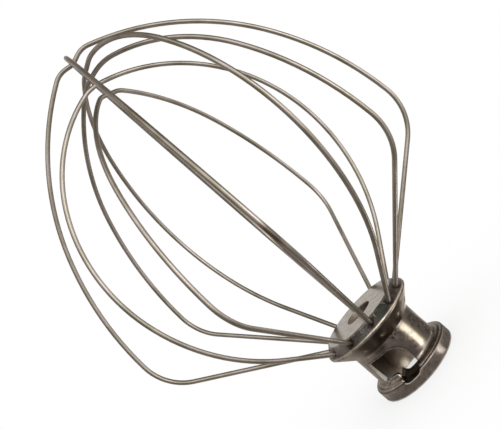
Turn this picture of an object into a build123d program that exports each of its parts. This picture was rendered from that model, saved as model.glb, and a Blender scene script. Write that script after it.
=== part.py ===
from build123d import *
import os
from collections import namedtuple
from math import cos, radians, sin, sqrt

# Driving dimensions in millimetres and degrees. The whisk stands on its collar, with the socket's mouth
# at z = 0, the tips of the wires up, and the bayonet slot on the side that faces about -Y.

# Mixer shaft that the socket fits, and the cross pin that locks it
shaft_diameter = 12.7
shaft_clearance = 0.1
pin_diameter = 4.8
pin_clearance = 0.3

# Hub, turned outline from the mouth upwards. A step goes outwards, and a rise goes up.
collar_height = 4.2
collar_step = 1.0
lip_rise = 0.9
lip_step = 1.95
neck_radius = 12.45
flare_rise = 5.7
rim_radius = 17.9
rim_thickness = 0.7
flank_rise = 3.0
end_face_radius = 14.9
hub_height = 26.3
socket_depth = 17.5
core_hole_radius = 5.0
mouth_chamfer = 0.6

# Hub, rounding of the turned edges
edge_round = 0.4
lip_round = 0.75
neck_foot_fillet = 1.15
neck_head_fillet = 0.5
core_edge_round = 0.3

# Bayonet slot, seen square on from outside: a window, with a pocket below its right end for the locked pin
slot_direction = -112.5
slot_left = -6.4
slot_right = 5.9
window_top = 14.4
tongue_top = 6.7
pocket_floor = 3.25
window_left_round = 1.0
window_arch_round = 5.0
pocket_round = 2.0
tongue_round = 0.9
keyway_radius = 11.0
broken_edge_foot = 1.5
broken_edge_head = 0.5

# Wires and their seats in the hub's sloping flank
wire_diameter = 1.6
hole_clearance = 0.05
entry_drop = 1.45
seat_depth = 9.0

# Stake marks punched under the rim, one below each wire
stake_rise = 2.8
stake_ball_radius = 1.5
stake_depth = 0.4

# Bends of one half loop. A heading is the wire's direction as an angle outwards from straight up.
Bends = namedtuple("Bends", "shoulder_radius shoulder_end flank_end crown_end")
shouldered = Bends(shoulder_radius=18.5, shoulder_end=-2.5, flank_end=-26.5, crown_end=-64.5)
smooth = Bends(shoulder_radius=67.5, shoulder_end=6, flank_end=-35.5, crown_end=-77)

# Six loops from the outermost tip inwards. They are bent by hand, so planes and leans are a little off
# the even step. A tip gap is the room below the loop outside it. The second loop is dented where the
# first one crosses its tip.
Loop = namedtuple("Loop", "bends plane lean tip_gap leg_slope crown_radius tip_radius tip_flat dent")
first_tip_height = 154.1
dent_radius = 3.0
loops = [
    Loop(shouldered, plane=-88, lean=-1.5, tip_gap=0, leg_slope=54,
         crown_radius=88, tip_radius=12.5, tip_flat=7.6, dent=0),
    Loop(shouldered, plane=-1.8, lean=0, tip_gap=0.1, leg_slope=54,
         crown_radius=90.5, tip_radius=7.5, tip_flat=4.7, dent=15),
    Loop(smooth, plane=-56.5, lean=1.8, tip_gap=3.8, leg_slope=43,
         crown_radius=48.5, tip_radius=22.5, tip_flat=6.6, dent=0),
    Loop(shouldered, plane=-29, lean=1, tip_gap=0.8, leg_slope=46.5,
         crown_radius=67.5, tip_radius=21.5, tip_flat=1.8, dent=0),
    Loop(smooth, plane=23.5, lean=-1.2, tip_gap=1, leg_slope=45,
         crown_radius=57.5, tip_radius=8, tip_flat=1.8, dent=0),
    Loop(shouldered, plane=58.5, lean=0.7, tip_gap=3.5, leg_slope=42.5,
         crown_radius=61.5, tip_radius=8.5, tip_flat=7.2, dent=0),
]

# Derived values
lip_radius = neck_radius + lip_step
lip_height = collar_height + lip_rise
collar_radius = lip_radius + collar_step
rim_top = hub_height - flank_rise
rim_bottom = rim_top - rim_thickness
neck_height = rim_bottom - flare_rise
stake_height = neck_height + stake_rise
socket_radius = (shaft_diameter + shaft_clearance) / 2
keyway_right = slot_left + pin_diameter + pin_clearance
wire_radius = wire_diameter / 2
entry_height = hub_height - entry_drop
entry_radius = end_face_radius + (rim_radius - end_face_radius) * entry_drop / flank_rise


def rounded_outline(corners):
    """Closed flat outline through (x, y, round) corners, each rounded by its own radius."""
    outline = make_face(Polyline([(x, y) for x, y, _ in corners], close=True))
    for x, y, radius in corners:
        if radius > 0:
            corner = outline.vertices().sort_by_distance((x, y))[0]
            outline = fillet(corner, radius)
    return outline


def hub_blank():
    """Turned hub with its stepped bore, before the slot and the wire holes."""
    outline = rounded_outline([
        (socket_radius + mouth_chamfer, 0, 0),
        (collar_radius, 0, edge_round),
        (collar_radius, collar_height, edge_round),
        (lip_radius, collar_height, 0),
        (lip_radius, lip_height, lip_round),
        (neck_radius, lip_height, neck_foot_fillet),
        (neck_radius, neck_height, neck_head_fillet),
        (rim_radius, rim_bottom, edge_round),
        (rim_radius, rim_top, edge_round),
        (end_face_radius, hub_height, edge_round),
        (core_hole_radius, hub_height, core_edge_round),
        (core_hole_radius, socket_depth, 0),
        (socket_radius, socket_depth, 0),
        (socket_radius, mouth_chamfer, 0),
    ])
    return revolve(Plane.XZ * outline, Axis.Z)


def broken_edge_section(level, size):
    """Flat section of what breaks the edge at the window's left end, at one height."""
    to_the_right = (-sin(radians(slot_direction)), cos(radians(slot_direction)), 0)
    across = Plane(origin=(0, 0, level), x_dir=to_the_right, z_dir=(0, 0, 1))
    edge_out = sqrt(neck_radius ** 2 - slot_left ** 2)
    # A step of the given size back along the end wall, and one along the neck's surface
    on_wall = (slot_left, size - edge_out)
    on_neck = (slot_left - size * edge_out / neck_radius, -size * slot_left / neck_radius - edge_out)
    clear_right = slot_left + size
    clear_out = -edge_out - size
    return across * make_face(Polyline([
        on_wall,
        on_neck,
        (on_neck[0], clear_out),
        (clear_right, clear_out),
        (clear_right, on_wall[1]),
    ], close=True))


def slot_plane():
    """Plane through the hub's axis that faces the slot, with x to the right, seen from outside, and y up."""
    outwards = (cos(radians(slot_direction)), sin(radians(slot_direction)), 0)
    to_the_right = (-sin(radians(slot_direction)), cos(radians(slot_direction)), 0)
    return Plane(origin=(0, 0, 0), x_dir=to_the_right, z_dir=outwards)


def bayonet_slot():
    """What the slot takes out: a window and pocket through the wall, its broken edge, and a keyway."""
    window = rounded_outline([
        (slot_left, tongue_top, tongue_round),
        (slot_left, window_top, window_left_round),
        (slot_right, window_top, window_arch_round),
        (slot_right, pocket_floor, pocket_round),
        (keyway_right, pocket_floor, pocket_round),
        (keyway_right, tongue_top, tongue_round),
    ])
    keyway = make_face(Polyline([
        (slot_left, 0),
        (keyway_right, 0),
        (keyway_right, tongue_top + tongue_round),
        (slot_left, tongue_top + tongue_round),
    ], close=True))
    place = slot_plane()
    opening = extrude(place * window, collar_radius + rim_radius) + extrude(place * keyway, keyway_radius)
    foot = broken_edge_section(tongue_top, broken_edge_foot)
    head = broken_edge_section(window_top, broken_edge_head)
    return opening + loft([foot, head])


def loop_path(loop, tip_height):
    """Centre line of a wire loop, from the end of one leg over the tip to the end of the other."""
    bends = loop.bends
    headings = [loop.leg_slope, bends.shoulder_end, bends.flank_end, bends.crown_end, -90 - loop.dent]
    sines = [sin(radians(heading)) for heading in headings]
    cosines = [cos(radians(heading)) for heading in headings]
    # Travel outwards and upwards that is left for the straight leg and the flank arc, once the rest is placed
    left_out = -entry_radius - dent_radius * cosines[4] - loop.tip_flat / 2 * sines[4]
    left_up = tip_height - entry_height + dent_radius * (1 + sines[4]) - loop.tip_flat / 2 * cosines[4]
    for radius, bend in ((bends.shoulder_radius, 0), (loop.crown_radius, 2), (loop.tip_radius, 3)):
        left_out -= radius * (cosines[bend + 1] - cosines[bend])
        left_up -= radius * (sines[bend] - sines[bend + 1])
    # Two equations give the leg's length and the flank's radius
    flank_out = cosines[2] - cosines[1]
    flank_up = sines[1] - sines[2]
    scale = sines[0] * flank_up - cosines[0] * flank_out
    leg_length = (left_out * flank_up - left_up * flank_out) / scale
    flank_radius = (left_up * sines[0] - left_out * cosines[0]) / scale

    leg_end = (entry_radius - seat_depth * sines[0], entry_height - seat_depth * cosines[0])
    leg_top = (entry_radius + leg_length * sines[0], entry_height + leg_length * cosines[0])
    pieces = [Line(leg_end, leg_top)]
    radii = [bends.shoulder_radius, flank_radius, loop.crown_radius, loop.tip_radius]
    for radius, start, end in zip(radii, headings, headings[1:]):
        pieces.append(JernArc(pieces[-1] @ 1, pieces[-1] % 1, radius, start - end))
    bend_end = pieces[-1] @ 1
    pieces.append(Line(bend_end, bend_end + (pieces[-1] % 1) * (loop.tip_flat / 2)))
    if loop.dent:
        pieces.append(JernArc(pieces[-1] @ 1, pieces[-1] % 1, dent_radius, -loop.dent))
    half = Wire(pieces)
    whole = Wire(half.edges() + mirror(half, Plane.YZ).edges())
    leaning = Pos(0, entry_height) * Rot(0, 0, -loop.lean) * Pos(0, -entry_height) * whole
    upright = Plane.XZ * leaning
    return Rot(0, 0, loop.plane) * upright


def wire_loop(path):
    """Round wire bent along its centre line."""
    return sweep(Plane(path @ 0, z_dir=path % 0) * Circle(wire_radius), path)


def wire_holes(path):
    """Two blind holes that the legs of one loop sit in, drilled along the legs."""
    drill = Circle(wire_radius + hole_clearance)
    first = extrude(Plane(path @ 0, z_dir=path % 0) * drill, 2 * seat_depth)
    second = extrude(Plane(path @ 1, z_dir=-(path % 1)) * drill, 2 * seat_depth)
    return first + second


def stake_marks(angle):
    """Two round punch marks in the slope under the rim, opposite each other."""
    slope = (rim_radius - neck_radius) / flare_rise
    surface_radius = neck_radius + slope * stake_rise
    # The ball's centre stands off square to the slope, so that only its end sinks in
    stand_off = (stake_ball_radius - stake_depth) / sqrt(1 + slope ** 2)
    ball = Pos(surface_radius + stand_off, 0, stake_height - slope * stand_off) * Sphere(stake_ball_radius)
    return Rot(0, 0, angle) * ball + Rot(0, 0, angle + 180) * ball


os.makedirs("parts", exist_ok=True)

hub = hub_blank() - bayonet_slot()
tip_height = first_tip_height + wire_diameter
for number, loop in enumerate(loops, start=1):
    tip_height -= wire_diameter + loop.tip_gap
    path = loop_path(loop, tip_height)
    hub -= wire_holes(path)
    hub -= stake_marks(loop.plane)
    export_step(wire_loop(path), f"parts/wire_loop_{number}.step")
export_step(hub, "parts/hub.step")
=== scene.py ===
# %% [markdown]
# # A wire whisk for a stand mixer
# Six loops of drawn stainless wire are seated in a small cast and turned hub. Nothing on the whisk
# is soft and nothing moves. It could be modelled here from curves and a turned outline, but the CAD
# model already holds its exact shape, so that is shown as it is. What is left for Blender is the
# light on bare metal and the marks that years of use have left on it.

# %% Load the frame
from collections import namedtuple
from math import cos, pi, radians, sin

import bmesh
import bpy
from mathutils import Matrix, Vector


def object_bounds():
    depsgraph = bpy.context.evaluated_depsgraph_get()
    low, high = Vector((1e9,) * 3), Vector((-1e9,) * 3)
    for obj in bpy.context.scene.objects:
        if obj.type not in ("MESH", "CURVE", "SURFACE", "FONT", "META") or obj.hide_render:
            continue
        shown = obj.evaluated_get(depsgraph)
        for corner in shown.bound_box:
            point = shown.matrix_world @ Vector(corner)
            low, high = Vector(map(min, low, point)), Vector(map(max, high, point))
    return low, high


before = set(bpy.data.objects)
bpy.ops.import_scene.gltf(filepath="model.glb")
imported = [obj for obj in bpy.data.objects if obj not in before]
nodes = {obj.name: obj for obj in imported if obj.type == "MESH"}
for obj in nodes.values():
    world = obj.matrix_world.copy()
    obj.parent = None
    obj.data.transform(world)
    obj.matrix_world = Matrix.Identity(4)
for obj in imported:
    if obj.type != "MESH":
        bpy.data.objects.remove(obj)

MM = 0.001
cad_low, cad_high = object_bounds()
scene = bpy.context.scene
scene.view_settings.view_transform = "Standard"
hub = nodes["hub"]
wire_loops = [nodes[name] for name in sorted(nodes) if name.startswith("wire_loop")]
print("nodes:", ", ".join(sorted(nodes)))
print("CAD box in mm:", [round(v / MM, 1) for v in (*cad_low, *cad_high)])

# %% [markdown]
# ## The camera
# The picture was taken from the side, about 20 cm off, with the camera rolled by a little more than
# half a right angle. A camera could be placed by eye, but twelve thin wires that cross each other
# show every error. So its place, its aim and its roll were fitted to the outlines of the loops, and
# they stand here as plain values.

# %% Camera
camera_place = Vector((4.64, -207.01, 73.13)) * MM
camera_look = Vector((-0.0176, 0.9998, 0.0082))
camera_roll = radians(-48.97)
# Blender gives a lens and its sensor in millimetres
focal_length = 44.77
sensor_width = 36
nearest_shown = 0.01
camera_data = bpy.data.cameras.new("camera")
camera_data.lens = focal_length
camera_data.sensor_width = sensor_width
camera_data.sensor_fit = "HORIZONTAL"
camera_data.clip_start = nearest_shown
camera = bpy.data.objects.new("camera", camera_data)
level_turn = camera_look.to_track_quat("-Z", "Y").to_matrix()
rolled_turn = level_turn @ Matrix.Rotation(camera_roll, 3, "Z")
camera.matrix_world = Matrix.Translation(camera_place) @ rolled_turn.to_4x4()
scene.collection.objects.link(camera)
scene.camera = camera
print("camera at", [round(v, 3) for v in camera_place], "m, rolled", round(camera_roll, 3), "rad")

# %% [markdown]
# ## Helpers for materials
# Colours are picked as sRGB hex values, as from a picture, while Blender's sockets take linear
# light, so one function turns one into the other. Materials could be built by hand in the shader
# editor, but a script can be run again. So a second function adds a node with its settings and its
# links in one call.

# %% Colour and node helpers
def to_linear(hex_colour):
    """sRGB hex text to a linear RGBA tuple."""
    parts = [int(hex_colour[i:i + 2], 16) / 255 for i in (1, 3, 5)]
    linear = [p / 12.92 if p <= 0.04045 else ((p + 0.055) / 1.055) ** 2.4 for p in parts]
    return (*linear, 1.0)


def add(tree, kind, inputs=None, stops=None, **settings):
    """Adds one node. Inputs are values, sockets, or nodes whose first output is taken.
    Stops are a ramp's (position, colour or level) pairs."""
    node = tree.nodes.new(kind)
    for name, value in settings.items():
        setattr(node, name, value)
    for key, value in (inputs or {}).items():
        if isinstance(value, bpy.types.Node):
            value = value.outputs[0]
        if isinstance(value, bpy.types.NodeSocket):
            tree.links.new(value, node.inputs[key])
        else:
            node.inputs[key].default_value = value
    for number, (position, value) in enumerate(stops or []):
        ramp = node.color_ramp.elements
        stop = ramp[number] if number < len(ramp) else ramp.new(position)
        stop.position = position
        stop.color = to_linear(value) if isinstance(value, str) else (value, value, value, 1)
    return node


def start_material(name):
    """A new material with an empty node tree."""
    material = bpy.data.materials.new(name)
    material.use_nodes = True
    material.node_tree.nodes.clear()
    return material, material.node_tree


print("mid grey #808080 is", round(to_linear("#808080")[0], 3), "in linear light")

# %% [markdown]
# ## The light
# Bare metal shows what is around it, so its looks depend on the room. An image of a studio could be
# that room, but a few drawn shapes can be moved until each highlight sits where it should. Here
# they are a white world, a white floor, one soft lamp in front and a brown-grey tent round the
# whisk. Only reflections see the tent, so floor and background stay white in the picture.

# %% World
world = bpy.data.worlds.new("white studio")
scene.world = world
world.use_nodes = True
world_tree = world.node_tree
world_tree.nodes.clear()
white = add(world_tree, "ShaderNodeBackground", {"Color": to_linear("#ffffff"), "Strength": 1.0})
add(world_tree, "ShaderNodeOutputWorld", {"Surface": white})
print("world:", world.name)

# %% [markdown]
# The lamp stands to the right of the camera. A small lamp or a sun would give hard spots on the
# neck and a hard shadow, so this one is a square soft box.

# %% Soft lamp
def direction(azimuth, elevation):
    """Unit vector from degrees: azimuth from the camera's side (-Y) towards +X, elevation up."""
    a = radians(azimuth)
    e = radians(elevation)
    return Vector((sin(a) * cos(e), -cos(a) * cos(e), sin(e)))


whisk_centre = (cad_low + cad_high) / 2
lamp_direction = direction(azimuth=34, elevation=16)
lamp_distance = 0.7
lamp_side = 0.22
lamp_radiance = 3.0
lamp_data = bpy.data.lights.new("soft lamp", "AREA")
lamp_data.shape = "SQUARE"
lamp_data.size = lamp_side
# A square lamp gives off its radiance times pi times its area
lamp_data.energy = lamp_radiance * pi * lamp_data.size ** 2
lamp = bpy.data.objects.new("soft lamp", lamp_data)
lamp.location = whisk_centre + lamp_direction * lamp_distance
lamp.rotation_euler = lamp_direction.to_track_quat("Z", "Y").to_euler()
lamp.visible_camera = False
scene.collection.objects.link(lamp)
print("soft lamp of", round(lamp_data.energy, 2), "W")

# %% [markdown]
# The floor is matt white paper that runs into the white background. Plain white paper would come
# out grey away from the lamp. So most of its white is given straight to the camera and to
# reflections, through the Light Path node, and the rest is lit by the lamp and the world. That rest
# is what holds the soft shadow of the whisk.

# %% Floor
def add_mesh(name, work, material):
    """A mesh object from a bmesh, with one material."""
    mesh = bpy.data.meshes.new(name)
    work.to_mesh(mesh)
    work.free()
    mesh.materials.append(material)
    made = bpy.data.objects.new(name, mesh)
    scene.collection.objects.link(made)
    return made


# Matt paper: white to the eye from every side, with no highlight
own_white = 0.7
floor_paper, tree = start_material("matt white paper")
path = add(tree, "ShaderNodeLightPath")
seen = add(tree, "ShaderNodeMath", {
    0: path.outputs["Is Camera Ray"], 1: path.outputs["Is Glossy Ray"]}, operation="MAXIMUM")
seen = add(tree, "ShaderNodeMath", {
    0: seen, 1: path.outputs["Is Transmission Ray"]}, operation="MAXIMUM")
lit = add(tree, "ShaderNodeBsdfDiffuse", {"Color": to_linear("#ffffff")})
own = add(tree, "ShaderNodeEmission", {"Color": to_linear("#ffffff"), "Strength": 1.0})
share = add(tree, "ShaderNodeMath", {0: seen, 1: own_white}, operation="MULTIPLY")
paper = add(tree, "ShaderNodeMixShader", {0: share, 1: lit, 2: own})
add(tree, "ShaderNodeOutputMaterial", {"Surface": paper})

floor_reach = 3.0
# The floor lies a hair below the collar's end, so that the two faces don't share one plane
floor_drop = 0.1 * MM
work = bmesh.new()
bmesh.ops.create_grid(work, x_segments=1, y_segments=1, size=floor_reach)
floor = add_mesh("floor", work, floor_paper)
floor.location.z = -floor_drop
print("floor at z =", floor.location.z)

# %% [markdown]
# The tent is a sphere of cloth that glows where a studio's soft boxes would stand: a long bright
# arch over the camera's right shoulder, and paler patches behind the whisk. Each could be a lamp of
# its own, but lamps would light the floor too. So the boxes are soft round patches in the cloth's
# own glow. Elsewhere the cloth is a dim brown grey, dimmest at the back, and this draws the dark
# edges along each wire.

# %% Tent cloth
# Half angles in degrees say where a box is fully lit and where its light is gone
SoftBox = namedtuple("SoftBox", "azimuth elevation full gone level")
soft_boxes = [
    SoftBox(azimuth=26, elevation=14, full=10, gone=44, level=0.92),
    SoftBox(azimuth=-4, elevation=43, full=9, gone=40, level=0.85),
    SoftBox(azimuth=62, elevation=-5, full=10, gone=34, level=0.85),
    SoftBox(azimuth=106, elevation=-12, full=12, gone=36, level=0.6),
    SoftBox(azimuth=180, elevation=14, full=10, gone=36, level=0.5),
    SoftBox(azimuth=-125, elevation=38, full=10, gone=44, level=0.3),
]
# Brown-grey cloth, and the warm white of a lit box
tent_dark = to_linear("#8e8780")
tent_light = to_linear("#fffaf3")
tent_cloth, tree = start_material("lit tent cloth")
place = add(tree, "ShaderNodeTexCoord")
facing = add(tree, "ShaderNodeVectorMath", {0: place.outputs["Object"]}, operation="NORMALIZE")
glow = None
for box in soft_boxes:
    toward = add(tree, "ShaderNodeVectorMath", {
        0: facing, 1: direction(box.azimuth, box.elevation)}, operation="DOT_PRODUCT")
    patch = add(tree, "ShaderNodeMapRange", {
        "Value": toward.outputs["Value"], "From Min": cos(radians(box.gone)),
        "From Max": cos(radians(box.full)), "To Max": box.level}, interpolation_type="SMOOTHSTEP")
    if glow:
        patch = add(tree, "ShaderNodeMath", {0: glow, 1: patch}, operation="MAXIMUM")
    glow = patch
print("tent cloth with", len(soft_boxes), "soft boxes")

# %% Tent for the reflections
def only_in_reflections(thing):
    """Hides a stage object from everything but glossy rays."""
    thing.visible_camera = False
    thing.visible_diffuse = False
    thing.visible_shadow = False
    thing.visible_transmission = False
    # Reflected rays find so large a glow by themselves, with less noise than rays aimed at it
    thing.data.materials[0].cycles.emission_sampling = "NONE"


# Strength of the cloth at the back and at the front, and of a box
dim_back = 0.85
dim_front = 1.35
box_strength = 1.7
# Cosines of the angle from straight in front, where the cloth's strength stops changing
back_limit = -0.6
front_limit = 0.9
front = add(tree, "ShaderNodeVectorMath", {0: facing, 1: direction(0, 0)}, operation="DOT_PRODUCT")
dim = add(tree, "ShaderNodeMapRange", {
    "Value": front.outputs["Value"], "From Min": back_limit, "From Max": front_limit,
    "To Min": dim_back, "To Max": dim_front})
tint = add(tree, "ShaderNodeMix", {
    "Factor": glow, "A": tent_dark, "B": tent_light}, data_type="RGBA")
strength = add(tree, "ShaderNodeMapRange", {"Value": glow, "To Min": dim, "To Max": box_strength})
cloth_light = add(tree, "ShaderNodeEmission", {
    "Color": tint.outputs["Result"], "Strength": strength})
add(tree, "ShaderNodeOutputMaterial", {"Surface": cloth_light})

tent_radius = 0.9
work = bmesh.new()
bmesh.ops.create_icosphere(work, subdivisions=4, radius=tent_radius)
tent = add_mesh("tent", work, tent_cloth)
tent.location = whisk_centre
only_in_reflections(tent)
print("tent of", len(tent.data.polygons), "faces")

# %% [markdown]
# The camera stands higher than the hub, so the upright neck mirrors the ground beside it, and a
# sheet on the ground belongs to the tent. It could be one even tone, but the neck has a narrow
# bright streak and the slope under the rim a light side. So the sheet is dim like the tent and has
# white ends: sectors that start at a point, fade to both sides and have levels over the distance.
# One beside the neck draws its streak, one far to the right lights the wires, one behind lights the
# slope, and a faint one lifts the left side.

# %% White ends of the ground sheet
# Points and distances are in mm. Half angles in degrees say where the white is full and gone
WhiteEnd = namedtuple("WhiteEnd", "start azimuth full gone levels")
hub_axis = (0, 0, 0)
neck_streak = WhiteEnd(start=(6.7, -11.2, 0), azimuth=62, full=4, gone=19,
                       levels=[(4, 0.0), (6, 1.0), (45, 1.0), (75, 0.0)])
wires_at_right = WhiteEnd(start=hub_axis, azimuth=66, full=35, gone=80,
                          levels=[(70, 0.0), (110, 0.15), (180, 0.3), (380, 0.6)])
slope_behind = WhiteEnd(start=hub_axis, azimuth=170, full=20, gone=48,
                        levels=[(16, 0.0), (22, 0.55), (42, 0.55), (60, 0.08)])
left_and_behind = WhiteEnd(start=hub_axis, azimuth=-120, full=30, gone=75,
                           levels=[(16, 0.0), (20, 0.16), (120, 0.16), (300, 0.08)])
white_ends = [neck_streak, wires_at_right, slope_behind, left_and_behind]
ground_cloth, tree = start_material("ground sheet with white ends")
place = add(tree, "ShaderNodeTexCoord")
glow = None
for end in white_ends:
    out = add(tree, "ShaderNodeVectorMath", {
        0: place.outputs["Object"], 1: Vector(end.start) * MM}, operation="SUBTRACT")
    away = add(tree, "ShaderNodeVectorMath", {0: out}, operation="LENGTH")
    facing = add(tree, "ShaderNodeVectorMath", {0: out}, operation="NORMALIZE")
    toward = add(tree, "ShaderNodeVectorMath", {
        0: facing, 1: direction(end.azimuth, 0)}, operation="DOT_PRODUCT")
    sector = add(tree, "ShaderNodeMapRange", {
        "Value": toward.outputs["Value"], "From Min": cos(radians(end.gone)),
        "From Max": cos(radians(end.full))}, interpolation_type="SMOOTHSTEP")
    reach = end.levels[-1][0]
    share = add(tree, "ShaderNodeMapRange", {
        "Value": away.outputs["Value"], "From Max": reach * MM})
    fade = add(tree, "ShaderNodeValToRGB", {"Fac": share},
               [(at / reach, level) for at, level in end.levels])
    whiteness = add(tree, "ShaderNodeMath", {0: sector, 1: fade}, operation="MULTIPLY")
    if glow:
        whiteness = add(tree, "ShaderNodeMath", {0: glow, 1: whiteness}, operation="MAXIMUM")
    glow = whiteness
print("ground cloth with", len(white_ends), "white ends")

# %% Ground sheet for the reflections
sheet_dim = 0.95
sheet_white = 2.4
tint = add(tree, "ShaderNodeMix", {
    "Factor": glow, "A": tent_dark, "B": tent_light}, data_type="RGBA")
strength = add(tree, "ShaderNodeMapRange", {
    "Value": glow, "To Min": sheet_dim, "To Max": sheet_white})
cloth_light = add(tree, "ShaderNodeEmission", {
    "Color": tint.outputs["Result"], "Strength": strength})
add(tree, "ShaderNodeOutputMaterial", {"Surface": cloth_light})

# The sheet is a ring: the collar stands in its hole, and its outside meets the tent
sheet_hole = 15.7 * MM
sheet_lift = 0.2 * MM
ring_segments = 96
work = bmesh.new()
bmesh.ops.create_circle(work, segments=ring_segments, radius=sheet_hole)
bmesh.ops.create_circle(work, segments=ring_segments, radius=tent_radius)
bmesh.ops.bridge_loops(work, edges=work.edges[:])
ground = add_mesh("ground_sheet", work, ground_cloth)
ground.location.z = sheet_lift
only_in_reflections(ground)
print("ground sheet of", len(ground.data.polygons), "faces")

# %% [markdown]
# ## The wire
# Stainless wire is drawn through a die, and use has worn it to a soft satin with a brown cast and
# faint patches along its length. The satin could be a fine bump, but dents that small only turn to
# specks in the picture. So a plain metal shader takes one slow noise for the patches' colour and a
# second one for the roughness, and the reflections do the rest.

# %% Drawn stainless wire: colour
# Drawn and worn steel: long soft reflections between dark edges, and nothing that sparkles
wire_steel, tree = start_material("drawn stainless wire")
place = add(tree, "ShaderNodeTexCoord")
spot = place.outputs["Object"]
patch_size = 9 * MM
patches = add(tree, "ShaderNodeTexNoise", {"Vector": spot, "Scale": 1 / patch_size, "Detail": 3.0})
tone = add(tree, "ShaderNodeValToRGB", {"Fac": patches},
           [(0.32, "#928e80"), (0.5, "#a8a299"), (0.68, "#b9b1ae")])
# One brown heat stain sits on the near leg of the outermost loop
heat_place = Vector((1.9, -61.3, 67.5)) * MM
heat_reach = 4.5 * MM
heat_core = 2 * MM
heat_level = 0.75
to_heat = add(tree, "ShaderNodeVectorMath", {0: spot, 1: heat_place}, operation="DISTANCE")
heat = add(tree, "ShaderNodeMapRange", {
    "Value": to_heat.outputs["Value"], "From Min": heat_reach, "From Max": heat_core,
    "To Max": heat_level})
stained = add(tree, "ShaderNodeMix", {
    "Factor": heat, "A": tone, "B": to_linear("#4f453b")}, data_type="RGBA")
print("wire patches of", round(patch_size / MM, 1), "mm and one heat stain")

# %% Drawn stainless wire: satin
# Wear leaves scratches well under 0.1 mm wide. Their grain is drawn far coarser, so that it shows
satin_grain = 2.5 * MM
satin_smooth = 0.26
satin_rough = 0.34
grain = add(tree, "ShaderNodeTexNoise", {"Vector": spot, "Scale": 1 / satin_grain, "Detail": 3.0})
satin = add(tree, "ShaderNodeMapRange", {
    "Value": grain, "To Min": satin_smooth, "To Max": satin_rough})
steel = add(tree, "ShaderNodeBsdfPrincipled", {
    "Base Color": stained.outputs["Result"], "Metallic": 1.0, "Roughness": satin})
add(tree, "ShaderNodeOutputMaterial", {"Surface": steel})
for wire_loop in wire_loops:
    wire_loop.data.materials.clear()
    wire_loop.data.materials.append(wire_steel)
print("wire finish on", len(wire_loops), "loops")

# %% [markdown]
# ## Where the wires enter the hub
# Shade falls in the corner round each wire, and it is painted there together with grime, so the
# hub's finish needs the twelve places where a wire meets the flank. They could be typed in, but
# measured ones follow the CAD model. Each loop's edges cross the height of its holes in two rings,
# one per leg, and the middle of a ring is the place.

# %% Wire roots
# Height of the holes' middles in the CAD model
root_height = 24.85 * MM
wire_roots = []
for wire_loop in wire_loops:
    points = [v.co for v in wire_loop.data.vertices]
    cuts = []
    for edge in wire_loop.data.edges:
        low, high = sorted((points[i] for i in edge.vertices), key=lambda point: point.z)
        if low.z < root_height < high.z:
            cuts.append(low.lerp(high, (root_height - low.z) / (high.z - low.z)))
    for leg in (1, -1):
        ring = [cut for cut in cuts if cut.xy.dot(cuts[0].xy) * leg > 0]
        wire_roots.append(sum(ring, Vector()) / len(ring))
print("wire roots in mm:", [[round(v / MM, 1) for v in root] for root in wire_roots])

# %% [markdown]
# ## The hub
# The hub is cast in an aluminium alloy, turned and burnished, which gives the eye broad soft
# reflections in light and dark bands. Painted highlights brighten a streak down the neck and the
# rubbed edges, painted shade darkens the slope under the rim over its brown tarnish, and painted
# shade lies in the corners round the wires. All this could be painted on an unwrapped image, but
# drawn patterns need no unwrapping and stay sharp at any size. So each mark is a mask over a
# height, an azimuth or a distance, and this first step makes those measures.

# %% Burnished cast aluminium: clouds
# Turned and burnished aluminium: broad soft reflections, clouded where the metal has tarnished
hub_metal, tree = start_material("burnished cast aluminium")
place = add(tree, "ShaderNodeTexCoord")
spot = place.outputs["Object"]
axes = add(tree, "ShaderNodeSeparateXYZ", {0: spot})
flat = add(tree, "ShaderNodeVectorMath", {0: spot, 1: (1, 1, 0)}, operation="MULTIPLY")
from_axis = add(tree, "ShaderNodeVectorMath", {0: flat}, operation="LENGTH")
# Clouds in the tarnish are about 2 mm wide. The middle of their noise is stretched to -1 to 1
mottle_size = 2.2 * MM
mottle_low = 0.3
mottle_high = 0.7
mottle = add(tree, "ShaderNodeTexNoise", {
    "Vector": spot, "Scale": 1 / mottle_size, "Detail": 5.0, "Roughness": 0.6})
uneven = add(tree, "ShaderNodeMapRange", {
    "Value": mottle, "From Min": mottle_low, "From Max": mottle_high,
    "To Min": -1.0, "To Max": 1.0})
cloud_dark = 0.62
cloud_light = 1.22
cloud = add(tree, "ShaderNodeMapRange", {
    "Value": uneven, "From Min": -1.0, "To Min": cloud_dark, "To Max": cloud_light})
print("clouds of", round(mottle_size / MM, 1), "mm")

# %% Burnished cast aluminium: height and azimuth
# Both are shares from 0 to 1, for ramps, and the clouds shift them, so that bands end unevenly.
# The hub is 26.3 mm tall in the CAD model.
hub_height = 26.3
ragged_height = 0.1 * MM
ragged_azimuth = radians(5)
height = add(tree, "ShaderNodeMath", {
    0: uneven, 1: ragged_height, 2: axes.outputs["Z"]}, operation="MULTIPLY_ADD")
band = add(tree, "ShaderNodeMapRange", {"Value": height, "From Max": hub_height * MM})
# The azimuth is 0 on the camera's side and runs from -180 to 180 degrees, positive to the right
to_camera = add(tree, "ShaderNodeMath", {0: axes.outputs["Y"], 1: -1.0}, operation="MULTIPLY")
azimuth = add(tree, "ShaderNodeMath", {0: axes.outputs["X"], 1: to_camera}, operation="ARCTAN2")
azimuth = add(tree, "ShaderNodeMath", {
    0: uneven, 1: ragged_azimuth, 2: azimuth}, operation="MULTIPLY_ADD")
around = add(tree, "ShaderNodeMapRange", {"Value": azimuth, "From Min": -pi, "From Max": pi})


def over_height(stops):
    """Ramp stops from (height in mm, colour or level) pairs."""
    return [(at / hub_height, value) for at, value in stops]


def over_azimuth(stops):
    """Ramp stops from (azimuth in degrees, level) pairs."""
    return [((at + 180) / 360, value) for at, value in stops]


print("20 mm up is at", round(over_height([(20, 0)])[0][0], 3), "of the height ramp")
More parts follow.
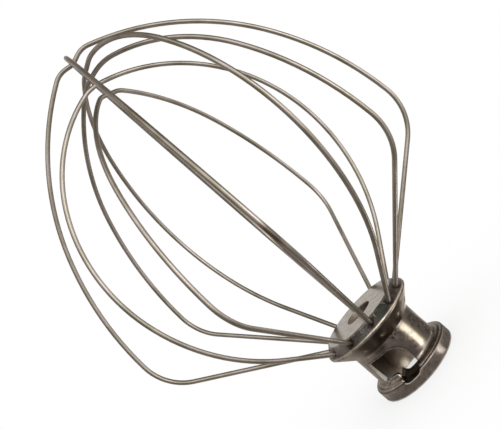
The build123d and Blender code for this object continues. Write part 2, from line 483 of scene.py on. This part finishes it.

# %% [markdown]
# Turning and burnishing leave bands that follow the height: a groove between collar and lip, an
# even neck, a slope and a rim. The groove and the lip beside it are darkened with painted shade,
# the rim carries a painted highlight as a bright line, and a faint painted highlight lies where the
# neck meets the slope. They could be loops of faces with a material each, but the CAD faces stay
# untouched, so one ramp over the height paints them all. A second ramp gives each band its gloss.

# %% Burnished cast aluminium: turned bands
collar = [(0.0, "#a29a95"), (3.8, "#a8a09a")]
# Painted shade: the groove between collar and lip, and the lip, painted dark
shaded_groove = [(4.2, "#4d453f"), (4.9, "#4f4741"), (5.2, "#7d746d")]
lip_and_neck = [(5.45, "#9c948e"), (6.3, "#a19993"), (7.2, "#9b938e"), (16.3, "#9b938e")]
# Its first stop is a faint painted highlight where the neck meets the slope
slope = [(16.7, "#b0a8a2"), (17.1, "#9d9488"), (22.4, "#a0978b")]
# Painted highlight: the bright line along the rim's rounded edge
rim_highlight = [(22.9, "#a89f93"), (23.2, "#d8d0c6"), (23.4, "#d8d0c6")]
flank_and_end = [(23.7, "#8d8884"), (25.8, "#8f8a86"), (26.1, "#9a9590"), (26.3, "#a09b96")]
band_tones = collar + shaded_groove + lip_and_neck + slope + rim_highlight + flank_and_end
tones = add(tree, "ShaderNodeValToRGB", {"Fac": band}, over_height(band_tones))
# Roughness: the neck, the rim and the end face are the smoothest
band_gloss = [(0.0, 0.26), (6.5, 0.26), (7.5, 0.2), (16.5, 0.2), (17.3, 0.3),
              (22.2, 0.3), (22.8, 0.2), (23.4, 0.34), (25.8, 0.34), (26.2, 0.2)]
gloss = add(tree, "ShaderNodeValToRGB", {"Fac": band}, over_height(band_gloss))
roughness = gloss.outputs["Color"]
# Layers of paint over the bands, from the lowest to the topmost: a mask and a colour each
layers = []
print("stops of the turned bands:", len(band_tones))

# %% [markdown]
# Tarnish and grime have stayed where no hand rubs, and the lip's left side is rubbed bare. Painted
# light and shade lie over them: painted shade on the slope under the rim, a painted highlight on
# the slope's right side where the light falls, and a painted highlight streak down the neck. All
# are fields on the turned surface, with soft ends. They could be drawn with noise alone, but then
# they would lie anywhere. So each field is bounded by a ramp over the height and a second one over
# the azimuth.

# %% Burnished cast aluminium: tarnish, grime, painted light and shade
Field = namedtuple("Field", "colour heights azimuths")
# Painted shade under the rim, over brown tarnish
tarnish_and_shade_slope = Field("#584e43", [(16.6, 0.0), (17.2, 0.9), (22.3, 0.9), (22.7, 0.0)],
                    [(-48, 0.0), (-26, 1.0), (37, 1.0), (45, 0.0)])
grey_flank = Field("#5c5956", [(23.5, 0.0), (23.8, 0.9), (25.7, 0.9), (26.0, 0.0)],
                   [(-50, 0.0), (-30, 1.0), (20, 1.0), (60, 0.4), (150, 0.0)])
# Painted highlight: the slope's right side, where the light falls, painted near white
slope_highlight = Field("#ece5d9", [(16.9, 0.0), (17.4, 1.0), (22.3, 1.0), (22.7, 0.0)],
                   [(40, 0.0), (48, 1.0), (110, 1.0), (150, 0.0)])
bare_lip = Field("#aaa19b", [(4.1, 0.0), (4.4, 0.85), (6.2, 0.85), (6.6, 0.0)],
                 [(-75, 0.0), (-60, 1.0), (-16, 1.0), (-4, 0.0)])
# Painted highlight: the bright streak down the neck, painted cream
neck_highlight = Field("#ddd3c0", [(6.6, 0.0), (7.6, 0.8), (15.8, 0.8), (16.6, 0.0)],
                  [(18, 0.0), (26, 1.0), (36, 1.0), (46, 0.0)])
smear_over_window = Field("#5a5044", [(14.9, 0.0), (15.8, 0.7), (16.9, 0.7), (17.0, 0.0)],
                          [(-32, 0.0), (-25, 1.0), (-16, 1.0), (-9, 0.0)])
for field in [tarnish_and_shade_slope, grey_flank, slope_highlight, bare_lip, neck_highlight, smear_over_window]:
    by_height = add(tree, "ShaderNodeValToRGB", {"Fac": band}, over_height(field.heights))
    by_azimuth = add(tree, "ShaderNodeValToRGB", {"Fac": around}, over_azimuth(field.azimuths))
    both = add(tree, "ShaderNodeMath", {0: by_height, 1: by_azimuth}, operation="MULTIPLY")
    layers.append((both, field.colour))
print("fields of tarnish and bare metal:", len(layers))

# %% [markdown]
# The walls of the bore, of the slot and of the hole in the end face were never burnished, so they
# are duller than the outside. They could have a material of their own, but they belong to the same
# casting. So the distance from the axis picks them out, and each wall has its own tone and
# roughness. The right half of the hole lies in its own shade, and one spot in the bore's mouth
# carries a painted highlight.

# %% Burnished cast aluminium: bore and slot walls
# Radii in mm say where a wall's tone starts and where it is full
Wall = namedtuple("Wall", "colour radius_out radius_in rough")
slot_wall = Wall("#8d837b", radius_out=11.4, radius_in=11.0, rough=0.45)
bore_wall = Wall("#95877a", radius_out=6.9, radius_in=6.5, rough=0.4)
end_hole_wall = Wall("#c9bdb0", radius_out=5.3, radius_in=5.15, rough=0.7)
face_start = 26.2 * MM
face_clear = 25.8 * MM
below_face = add(tree, "ShaderNodeMapRange", {
    "Value": axes.outputs["Z"], "From Min": face_start, "From Max": face_clear})
for wall in [slot_wall, bore_wall, end_hole_wall]:
    within = add(tree, "ShaderNodeMapRange", {
        "Value": from_axis.outputs["Value"], "From Min": wall.radius_out * MM,
        "From Max": wall.radius_in * MM})
    inside = add(tree, "ShaderNodeMath", {0: within, 1: below_face}, operation="MULTIPLY")
    layers.append((inside, wall.colour))
    rougher = add(tree, "ShaderNodeMix", {"Factor": inside, "A": roughness, "B": wall.rough})
    roughness = rougher.outputs["Result"]
# The last wall is the end hole's, and its mask bounds the shade
shade_start = -0.5 * MM
shade_full = 2.0 * MM
shade_level = 0.8
shaded = add(tree, "ShaderNodeMapRange", {
    "Value": axes.outputs["X"], "From Min": shade_start, "From Max": shade_full,
    "To Max": shade_level})
shaded = add(tree, "ShaderNodeMath", {0: shaded, 1: inside}, operation="MULTIPLY")
layers.append((shaded, "#63574f"))
print("layers with the walls:", len(layers))

# %% Burnished cast aluminium: painted highlight in the mouth
highlight_place = Vector((-2.6, 5.8, 1.6)) * MM
highlight_reach = 2.4 * MM
highlight_core = 0.7 * MM
highlight_level = 0.95
to_highlight = add(tree, "ShaderNodeVectorMath", {0: spot, 1: highlight_place}, operation="DISTANCE")
highlighted = add(tree, "ShaderNodeMapRange", {
    "Value": to_highlight.outputs["Value"], "From Min": highlight_reach, "From Max": highlight_core,
    "To Max": highlight_level})
# Painted highlight: a near-white spot on the bore's wall
layers.append((highlighted, "#f8ead0"))
print("rubbed spot at", [round(v / MM, 1) for v in highlight_place], "mm")

# %% [markdown]
# Edges are rubbed to bright metal, and the light line along them is also a painted highlight,
# where a rounded edge catches the light. A bevel in the mesh would change the CAD shape, so the
# Bevel node only bends the shading near an edge. Where its normal departs from the true one there
# is an edge, and the departure becomes a light line. Round the slot a dark line comes first: a
# painted dark reflection on the outer part of the rounding.

# %% Burnished cast aluminium: rubbed edges
# The edges of slot and collar are rounded and painted wider than those of the head
wide_edge = 1.0 * MM
fine_edge = 0.4 * MM
wide_below = 15 * MM
fine_above = 16 * MM
edge_size = add(tree, "ShaderNodeMapRange", {
    "Value": axes.outputs["Z"], "From Min": wide_below, "From Max": fine_above,
    "To Min": wide_edge, "To Max": fine_edge})
round_edges = add(tree, "ShaderNodeBevel", {"Radius": edge_size}, samples=8)
true_shape = add(tree, "ShaderNodeNewGeometry")
agree = add(tree, "ShaderNodeVectorMath", {
    0: true_shape.outputs["Normal"], 1: round_edges}, operation="DOT_PRODUCT")
at_slot = add(tree, "ShaderNodeValToRGB", {"Fac": band},
              over_height([(6.0, 0.0), (6.8, 0.95), (15.0, 0.95), (15.6, 0.0)]))
# Stops are cosines between the two normals: a slight turn is dark, and a strong one is light
painted_dark_line = add(tree, "ShaderNodeValToRGB", {"Fac": agree.outputs["Value"]},
              [(0.84, 0.0), (0.89, 1.0), (0.985, 1.0), (0.997, 0.0)])
painted_dark_line = add(tree, "ShaderNodeMath", {0: painted_dark_line, 1: at_slot}, operation="MULTIPLY")
# Painted dark reflection: a dark line just outside the slot's edges
layers.append((painted_dark_line, "#352d28"))
edge_start = 0.93
edge_full = 0.85
edge_level = 0.75
edge = add(tree, "ShaderNodeMapRange", {
    "Value": agree.outputs["Value"], "From Min": edge_start, "From Max": edge_full,
    "To Max": edge_level})
# Painted highlight along the rounded edges, over rubbed metal
layers.append((edge, "#dcd4ca"))
print("edges rubbed", round(wide_edge / MM, 1), "and", round(fine_edge / MM, 1), "mm wide")

# %% [markdown]
# The window's left edge is broken as with a file, wider at its foot. Its fine scratches scatter the
# light, and its pale, even colour is a painted highlight on top, where the turned metal around it
# mirrors the room. The face could have a second material, but its ends should fade. So the
# distance to a straight line along it makes the mask, with a width that changes from foot to head.

# %% Burnished cast aluminium: filed edge of the window
filed_foot = Vector((-10.16, -6.12, 7.0)) * MM
filed_head = Vector((-10.06, -6.9, 13.8)) * MM
foot_half_width = 0.95 * MM
head_half_width = 0.45 * MM
core_share = 0.6
filed_light_level = 0.9
filed_rough = 0.5
run = filed_head - filed_foot
along = add(tree, "ShaderNodeVectorMath", {0: spot, 1: filed_foot}, operation="SUBTRACT")
share = add(tree, "ShaderNodeVectorMath", {
    0: along, 1: run / run.length_squared}, operation="DOT_PRODUCT")
# A Map Range with its own limits keeps the share between the line's two ends
share = add(tree, "ShaderNodeMapRange", {"Value": share.outputs["Value"]})
on_line = add(tree, "ShaderNodeVectorMath", {0: run, "Scale": share}, operation="SCALE")
to_line = add(tree, "ShaderNodeVectorMath", {0: along, 1: on_line}, operation="DISTANCE")
half_width = add(tree, "ShaderNodeMapRange", {
    "Value": share, "To Min": foot_half_width, "To Max": head_half_width})
core = add(tree, "ShaderNodeMath", {0: half_width, 1: core_share}, operation="MULTIPLY")
filed = add(tree, "ShaderNodeMapRange", {
    "Value": to_line.outputs["Value"], "From Min": half_width, "From Max": core,
    "To Max": filed_light_level})
rougher = add(tree, "ShaderNodeMix", {"Factor": filed, "A": roughness, "B": filed_rough})
roughness = rougher.outputs["Result"]
# Painted highlight on the filed face
layers.append((filed, "#e3ddd5"))
print("filed edge of", round(run.length / MM, 1), "mm")

# %% Burnished cast aluminium: scattered light on scratches
# Scratches are finer than the render can show, so scratched metal is drawn less metallic, which
# scatters light much as they do. The filed edge has most of it at its foot, and the slot's edges
# have a little.
scratched_head = 0.8
scratched_foot = 0.05
slot_share = 0.35
clean_metallic = 1.0
scratched_metallic = 0.2
at_foot = add(tree, "ShaderNodeMapRange", {
    "Value": share, "From Min": scratched_head, "From Max": scratched_foot})
scratched = add(tree, "ShaderNodeMath", {0: filed, 1: at_foot}, operation="MULTIPLY")
slot_edge = add(tree, "ShaderNodeMath", {0: edge, 1: at_slot}, operation="MULTIPLY")
slot_edge = add(tree, "ShaderNodeMath", {0: slot_edge, 1: slot_share}, operation="MULTIPLY")
scratched = add(tree, "ShaderNodeMath", {0: scratched, 1: slot_edge}, operation="MAXIMUM")
metallic = add(tree, "ShaderNodeMapRange", {
    "Value": scratched, "To Min": clean_metallic, "To Max": scratched_metallic})
print("metallic from", clean_metallic, "to", scratched_metallic)

# %% [markdown]
# Each wire is held by a punch mark under the rim, rubbed lighter than the tarnish, and has a ring
# of painted shade and grime at its root. Both could be placed as small decals, but twelve of each
# would have to be lined up. So the distance to the nearest of twelve points makes one mask for all
# of them.

# %% Burnished cast aluminium: punch marks
def nearest(tree, spot, points):
    """Distance from the shaded spot to the nearest of some points."""
    least = None
    for point in points:
        gap = add(tree, "ShaderNodeVectorMath", {0: spot, 1: point}, operation="DISTANCE")
        gap = gap.outputs["Value"]
        if least:
            gap = add(tree, "ShaderNodeMath", {0: least, 1: gap}, operation="MINIMUM").outputs[0]
        least = gap
    return least


# About where the punch meets the slope in the CAD model: height, and radius from the axis
mark_height = 19.7 * MM
mark_radius = 15.0 * MM
mark_reach = 1.9 * MM
mark_core = 1.2 * MM
mark_level = 0.5
punch_marks = []
for root in wire_roots:
    outwards = (root * Vector((1, 1, 0))).normalized()
    punch_marks.append(outwards * mark_radius + Vector((0, 0, mark_height)))
mark = add(tree, "ShaderNodeMapRange", {
    "Value": nearest(tree, spot, punch_marks), "From Min": mark_reach, "From Max": mark_core,
    "To Max": mark_level})
layers.append((mark, "#b5aa98"))
print("punch marks:", len(punch_marks))

# %% Burnished cast aluminium: painted shade and grime at the roots
shade_and_grime_reach = 2.0 * MM
shade_and_grime_core = 1.1 * MM
shade_and_grime_level = 0.85
ragged_shade_and_grime = 0.4 * MM
ragged = add(tree, "ShaderNodeMath", {
    0: uneven, 1: ragged_shade_and_grime, 2: nearest(tree, spot, wire_roots)}, operation="MULTIPLY_ADD")
shade_and_grime = add(tree, "ShaderNodeMapRange", {
    "Value": ragged, "From Min": shade_and_grime_reach, "From Max": shade_and_grime_core, "To Max": shade_and_grime_level})
# Painted shade in the corner round each wire's root, with grime
layers.append((shade_and_grime, "#3a332d"))
print("grime at", len(wire_roots), "roots")

# %% [markdown]
# A few marks are this hub's own: a round greenish stain and fine pale cracks on the flank, pits on
# the neck and a thin seam across the end face. The stain's pale rim is a painted highlight on its
# upper edge. They could be left out, but such marks tell a used part from a new one. Each is drawn
# where it lies: the stain from a distance, the cracks as contour lines of a noise, the pits from a
# pattern of cells, and the seam from a plane.

# %% Burnished cast aluminium: stain on the flank
stain_place = Vector((5.6, -15.3, 24.9)) * MM
stain_reach = 3.1 * MM
stain_core = 2.2 * MM
stain_level = 0.6
to_stain = add(tree, "ShaderNodeVectorMath", {0: spot, 1: stain_place}, operation="DISTANCE")
stain = add(tree, "ShaderNodeMapRange", {
    "Value": to_stain.outputs["Value"], "From Min": stain_reach, "From Max": stain_core,
    "To Max": stain_level})
layers.append((stain, "#5d665f"))
# The pale rim is a painted highlight on the stain's upper half only
ring_radius = 2.7 * MM
ring_reach = 0.24 * MM
ring_core = 0.06 * MM
ring_from = 24.9 * MM
ring_full = 25.4 * MM
rim_highlight_level = 0.8
off_ring = add(tree, "ShaderNodeMath", {
    0: to_stain.outputs["Value"], 1: ring_radius}, operation="SUBTRACT")
off_ring = add(tree, "ShaderNodeMath", {0: off_ring}, operation="ABSOLUTE")
ring = add(tree, "ShaderNodeMapRange", {
    "Value": off_ring, "From Min": ring_reach, "From Max": ring_core})
upper = add(tree, "ShaderNodeMapRange", {
    "Value": axes.outputs["Z"], "From Min": ring_from, "From Max": ring_full, "To Max": rim_highlight_level})
ring = add(tree, "ShaderNodeMath", {0: ring, 1: upper}, operation="MULTIPLY")
# Painted highlight: the pale rim of the stain
layers.append((ring, "#d9d6d0"))
print("stain of", round(stain_reach / MM, 1), "mm radius")

# %% Burnished cast aluminium: cracks on the flank
crack_place = Vector((-3.4, -15.5, 25.2)) * MM
crack_reach = 4.2 * MM
crack_core = 2.6 * MM
crack_level = 0.5
crack_spacing = 1.0 * MM
# The real cracks are hairlines. These limits, in levels of the noise, draw them about 0.1 mm wide,
# so that they show.
line_reach = 0.03
line_core = 0.008
to_cracks = add(tree, "ShaderNodeVectorMath", {0: spot, 1: crack_place}, operation="DISTANCE")
crack_field = add(tree, "ShaderNodeMapRange", {
    "Value": to_cracks.outputs["Value"], "From Min": crack_reach, "From Max": crack_core,
    "To Max": crack_level})
swirl = add(tree, "ShaderNodeTexNoise", {"Vector": spot, "Scale": 1 / crack_spacing, "Detail": 3.0})
# The contour runs where the noise is at its middle level
off_line = add(tree, "ShaderNodeMath", {0: swirl, 1: 0.5}, operation="SUBTRACT")
off_line = add(tree, "ShaderNodeMath", {0: off_line}, operation="ABSOLUTE")
crack = add(tree, "ShaderNodeMapRange", {
    "Value": off_line, "From Min": line_reach, "From Max": line_core})
crack = add(tree, "ShaderNodeMath", {0: crack, 1: crack_field}, operation="MULTIPLY")
layers.append((crack, "#c4c0ba"))
print("cracks over", round(crack_reach / MM, 1), "mm")

# %% Burnished cast aluminium: pits on the neck
pit_places = [(9.6, -7.9, 12.2), (10.2, -7.2, 14.4), (10.8, -6.2, 6.6), (2.6, -12.2, 16.0),
              (11.2, -5.4, 10.6)]
pit_fields = [Vector(point) * MM for point in pit_places]
field_reach = 2.4 * MM
field_core = 1.2 * MM
# The real pits are hardly wider than a pixel, which is about 0.3 mm on the neck. They are drawn on
# cells of 0.9 mm, so that they show.
pit_spacing = 0.9 * MM
pit_bend = 0.5 * MM
pit_reach = 0.55
pit_core = 0.36
pit_level = 0.85
pit_field = add(tree, "ShaderNodeMapRange", {
    "Value": nearest(tree, spot, pit_fields), "From Min": field_reach, "From Max": field_core})
# Bent coordinates make the pits less round, and only the darker clouds keep theirs
pitted_below = -0.2
bent = add(tree, "ShaderNodeVectorMath", {
    0: mottle.outputs["Color"], 1: (pit_bend,) * 3, 2: spot}, operation="MULTIPLY_ADD")
cells = add(tree, "ShaderNodeTexVoronoi", {"Vector": bent, "Scale": 1 / pit_spacing})
pit = add(tree, "ShaderNodeMapRange", {
    "Value": cells, "From Min": pit_reach, "From Max": pit_core, "To Max": pit_level})
some = add(tree, "ShaderNodeMapRange", {
    "Value": uneven, "From Min": -1.0, "From Max": pitted_below})
pit = add(tree, "ShaderNodeMath", {0: pit, 1: some}, operation="MULTIPLY")
pit = add(tree, "ShaderNodeMath", {0: pit, 1: pit_field}, operation="MULTIPLY")
layers.append((pit, "#302925"))
print("pits in", len(pit_fields), "fields")

# %% Burnished cast aluminium: seam over the end face
seam_side = Vector((0.541, 0.841, 0))
seam_offset = 1.13 * MM
seam_wave = 0.12 * MM
seam_reach = 0.28 * MM
seam_core = 0.12 * MM
seam_level = 0.9
seam_from = 26.1 * MM
seam_full = 26.2 * MM
across = add(tree, "ShaderNodeVectorMath", {0: spot, 1: seam_side}, operation="DOT_PRODUCT")
off_seam = add(tree, "ShaderNodeMath", {
    0: across.outputs["Value"], 1: seam_offset}, operation="SUBTRACT")
off_seam = add(tree, "ShaderNodeMath", {
    0: uneven, 1: seam_wave, 2: off_seam}, operation="MULTIPLY_ADD")
off_seam = add(tree, "ShaderNodeMath", {0: off_seam}, operation="ABSOLUTE")
line = add(tree, "ShaderNodeMapRange", {
    "Value": off_seam, "From Min": seam_reach, "From Max": seam_core, "To Max": seam_level})
on_face = add(tree, "ShaderNodeMapRange", {
    "Value": axes.outputs["Z"], "From Min": seam_from, "From Max": seam_full})
seam = add(tree, "ShaderNodeMath", {0: line, 1: on_face}, operation="MULTIPLY")
layers.append((seam, "#5d534c"))
print("seam", round(seam_offset / MM, 2), "mm from the axis")

# %% [markdown]
# Now the layers go over the turned bands, from the lowest to the topmost, and the clouds darken or
# lighten them all. They could be separate shaders mixed one by one, but they all lie on the same
# metal, so one shader with one mixed colour is enough. The grain of the casting is a slight bump,
# and the pits are sunk into it.

# %% Burnished cast aluminium: shader
coat = tones
for mask, colour in layers:
    mixed = add(tree, "ShaderNodeMix", {
        "Factor": mask, "A": coat, "B": to_linear(colour)}, data_type="RGBA")
    coat = mixed.outputs["Result"]
coat = add(tree, "ShaderNodeVectorMath", {0: coat, "Scale": cloud}, operation="SCALE")
# Fine grain of a casting, with heights in levels of the noise
cast_grain = 0.5 * MM
pit_depth = -2.0
grain_strength = 0.35
grain_height = 0.02 * MM
grain = add(tree, "ShaderNodeTexNoise", {"Vector": spot, "Scale": 1 / cast_grain, "Detail": 3.0})
sunk = add(tree, "ShaderNodeMath", {0: pit, 1: pit_depth, 2: grain}, operation="MULTIPLY_ADD")
skin = add(tree, "ShaderNodeBump", {
    "Height": sunk, "Strength": grain_strength, "Distance": grain_height, "Normal": round_edges})
alloy = add(tree, "ShaderNodeBsdfPrincipled", {
    "Base Color": coat, "Metallic": metallic, "Roughness": roughness, "Normal": skin})
add(tree, "ShaderNodeOutputMaterial", {"Surface": alloy})
hub.data.materials.clear()
hub.data.materials.append(hub_metal)
print("hub finish of", len(layers), "layers:", hub_metal.name)
